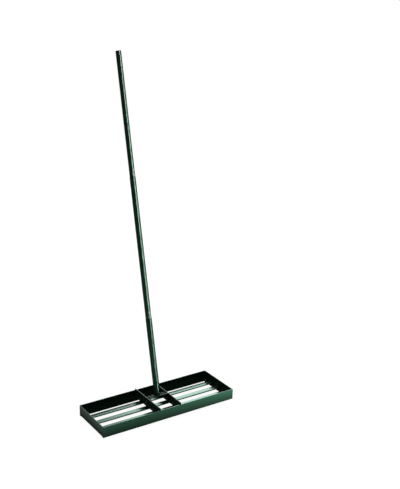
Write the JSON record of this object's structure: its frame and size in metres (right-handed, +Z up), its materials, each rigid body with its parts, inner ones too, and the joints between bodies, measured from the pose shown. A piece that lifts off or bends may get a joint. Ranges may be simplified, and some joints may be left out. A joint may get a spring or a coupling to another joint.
{
  "type": "lawn leveling rake",
  "caption": "Lawn leveling rake: a flat rectangular steel frame with raised slats and cross plates, and a long bolted tube handle that tilts on a pivot in its middle.",
  "frame": {"origin": "on the ground, under the middle of the head and of the pivot axis", "axes": "+Z up; +X along the long side of the head, to the right seen from the front; the handle leans towards +Y"},
  "size_m": [0.762, 0.522, 1.7567],
  "materials": {
    "head_paint": "satin dark green powder coat",
    "handle_paint": "glossy dark green powder coat",
    "fastener_steel": "black oxide",
    "spacer_plastic": "black nylon",
    "plug_plastic": "black moulded"
  },
  "bodies": {
    "head": {"front_wall": "head_paint", "rear_wall": "head_paint", "left_end_wall": "head_paint", "right_end_wall": "head_paint", "front_slat": "head_paint", "middle_slat": "head_paint", "rear_slat": "head_paint", "left_cross_plate": "head_paint", "right_cross_plate": "head_paint", "corner_welds": "head_paint", "slat_welds": "head_paint", "plate_welds": "head_paint", "pivot_bolts": "fastener_steel", "pivot_washers": "fastener_steel", "pivot_spacers": "spacer_plastic", "pivot_nuts": "fastener_steel"},
    "handle": {"saddle_bracket": "head_paint", "saddle_weld": "head_paint", "lower_tube": "handle_paint", "middle_tube": "handle_paint", "upper_tube": "handle_paint", "joint_bolts": "fastener_steel", "joint_seats": "fastener_steel", "joint_nuts": "fastener_steel", "end_plug": "plug_plastic"}
  },
  "joints": [
    {"name": "handle_tilt", "type": "hinge", "parent": "head", "child": "handle", "pos_m": [0, 0, 0.047], "axis": [-1, 0, 0], "range_deg": [-89, 64]}
  ]
}
